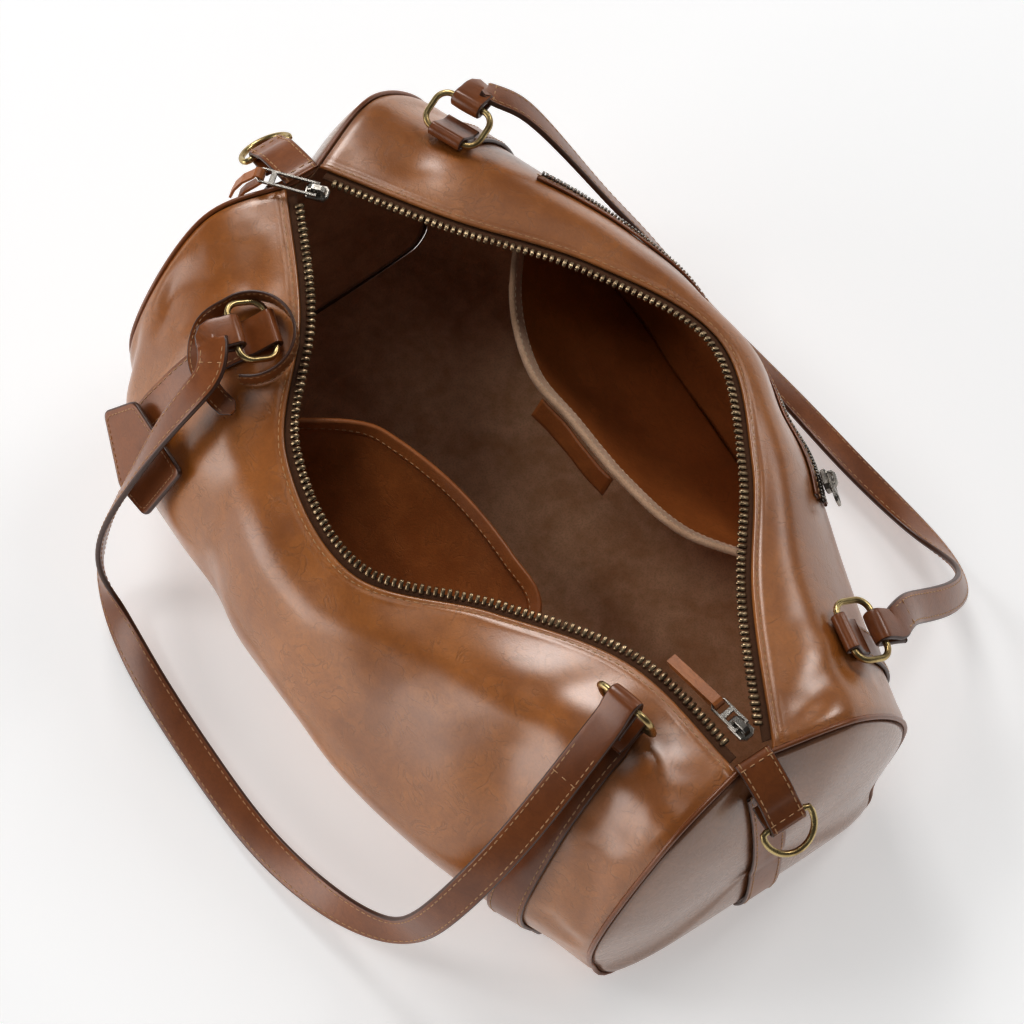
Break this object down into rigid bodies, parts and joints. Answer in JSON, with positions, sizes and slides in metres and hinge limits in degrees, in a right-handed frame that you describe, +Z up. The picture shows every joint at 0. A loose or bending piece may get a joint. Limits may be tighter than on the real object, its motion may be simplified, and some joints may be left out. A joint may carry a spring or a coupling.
{
  "type": "boston bag",
  "caption": "Soft barrel-shaped leather boston bag, unzipped and gaping, with two slack strap handles on oval rings, an end ring at each side, inside pockets and a luggage tag.",
  "frame": {"origin": "middle of the footprint, at the height that the bag rests on", "axes": "+X along the bag towards its right end, +Z up, the front handle towards -Y"},
  "size_m": [0.4872, 0.4076, 0.1926],
  "materials": {
    "leather": "glossy cognac brown",
    "panel_leather": "glossy cognac brown, smooth",
    "lining": "beige brushed lining",
    "brass": "antique",
    "nickel": "antique nickel",
    "tape": "brown woven tape"
  },
  "bodies": {
    "bag": {"back_pocket": "lining", "back_zip_slider": "nickel", "back_zip_tape": "tape", "back_zip_teeth": "brass", "body_panel": "leather", "body_strap_left": "leather", "body_strap_right": "leather", "end_panel_left": "panel_leather", "end_panel_right": "panel_leather", "end_strap_left": "leather", "end_strap_right": "leather", "end_tab_left": "leather", "end_tab_right": "leather", "front_pocket": "leather", "handle_back": "leather", "handle_front": "leather", "lining_body": "lining", "lining_left": "lining", "lining_right": "lining", "luggage_tag": "leather", "piping_left": "leather", "piping_right": "leather", "pocket_backing": "leather", "pocket_band": "lining", "pocket_binding": "leather", "pocket_patch": "leather", "pull_plate_left": "nickel", "pull_plate_right": "nickel", "pull_thong_left": "leather", "pull_thong_right": "leather", "ring_back_left": "brass", "ring_back_right": "brass", "ring_front_left": "brass", "ring_front_right": "brass", "tag_strap": "leather", "zip_slider_left": "nickel", "zip_slider_right": "nickel", "zip_tape_back": "tape", "zip_tape_front": "tape", "zip_teeth_back": "brass", "zip_teeth_front": "brass"},
    "d_ring_left": {"d_ring_left": "brass"},
    "d_ring_right": {"d_ring_right": "brass"},
    "back_pull": {"back_zip_pull": "nickel"}
  },
  "joints": [
    {"name": "left_ring_hinge", "type": "hinge", "parent": "bag", "child": "d_ring_left", "pos_m": [-0.22894, -0.00212, 0.14333], "axis": [0, 1, 0], "range_deg": [-35, 60]},
    {"name": "right_ring_hinge", "type": "hinge", "parent": "bag", "child": "d_ring_right", "pos_m": [0.22894, -0.00212, 0.14595], "axis": [0, 1, 0], "range_deg": [-60, 35]},
    {"name": "back_pull_hinge", "type": "hinge", "parent": "bag", "child": "back_pull", "pos_m": [0.08376, 0.13658, 0.11459], "axis": [0.3059, 0.2415, -0.9209], "range_deg": [-70, 0]}
  ]
}
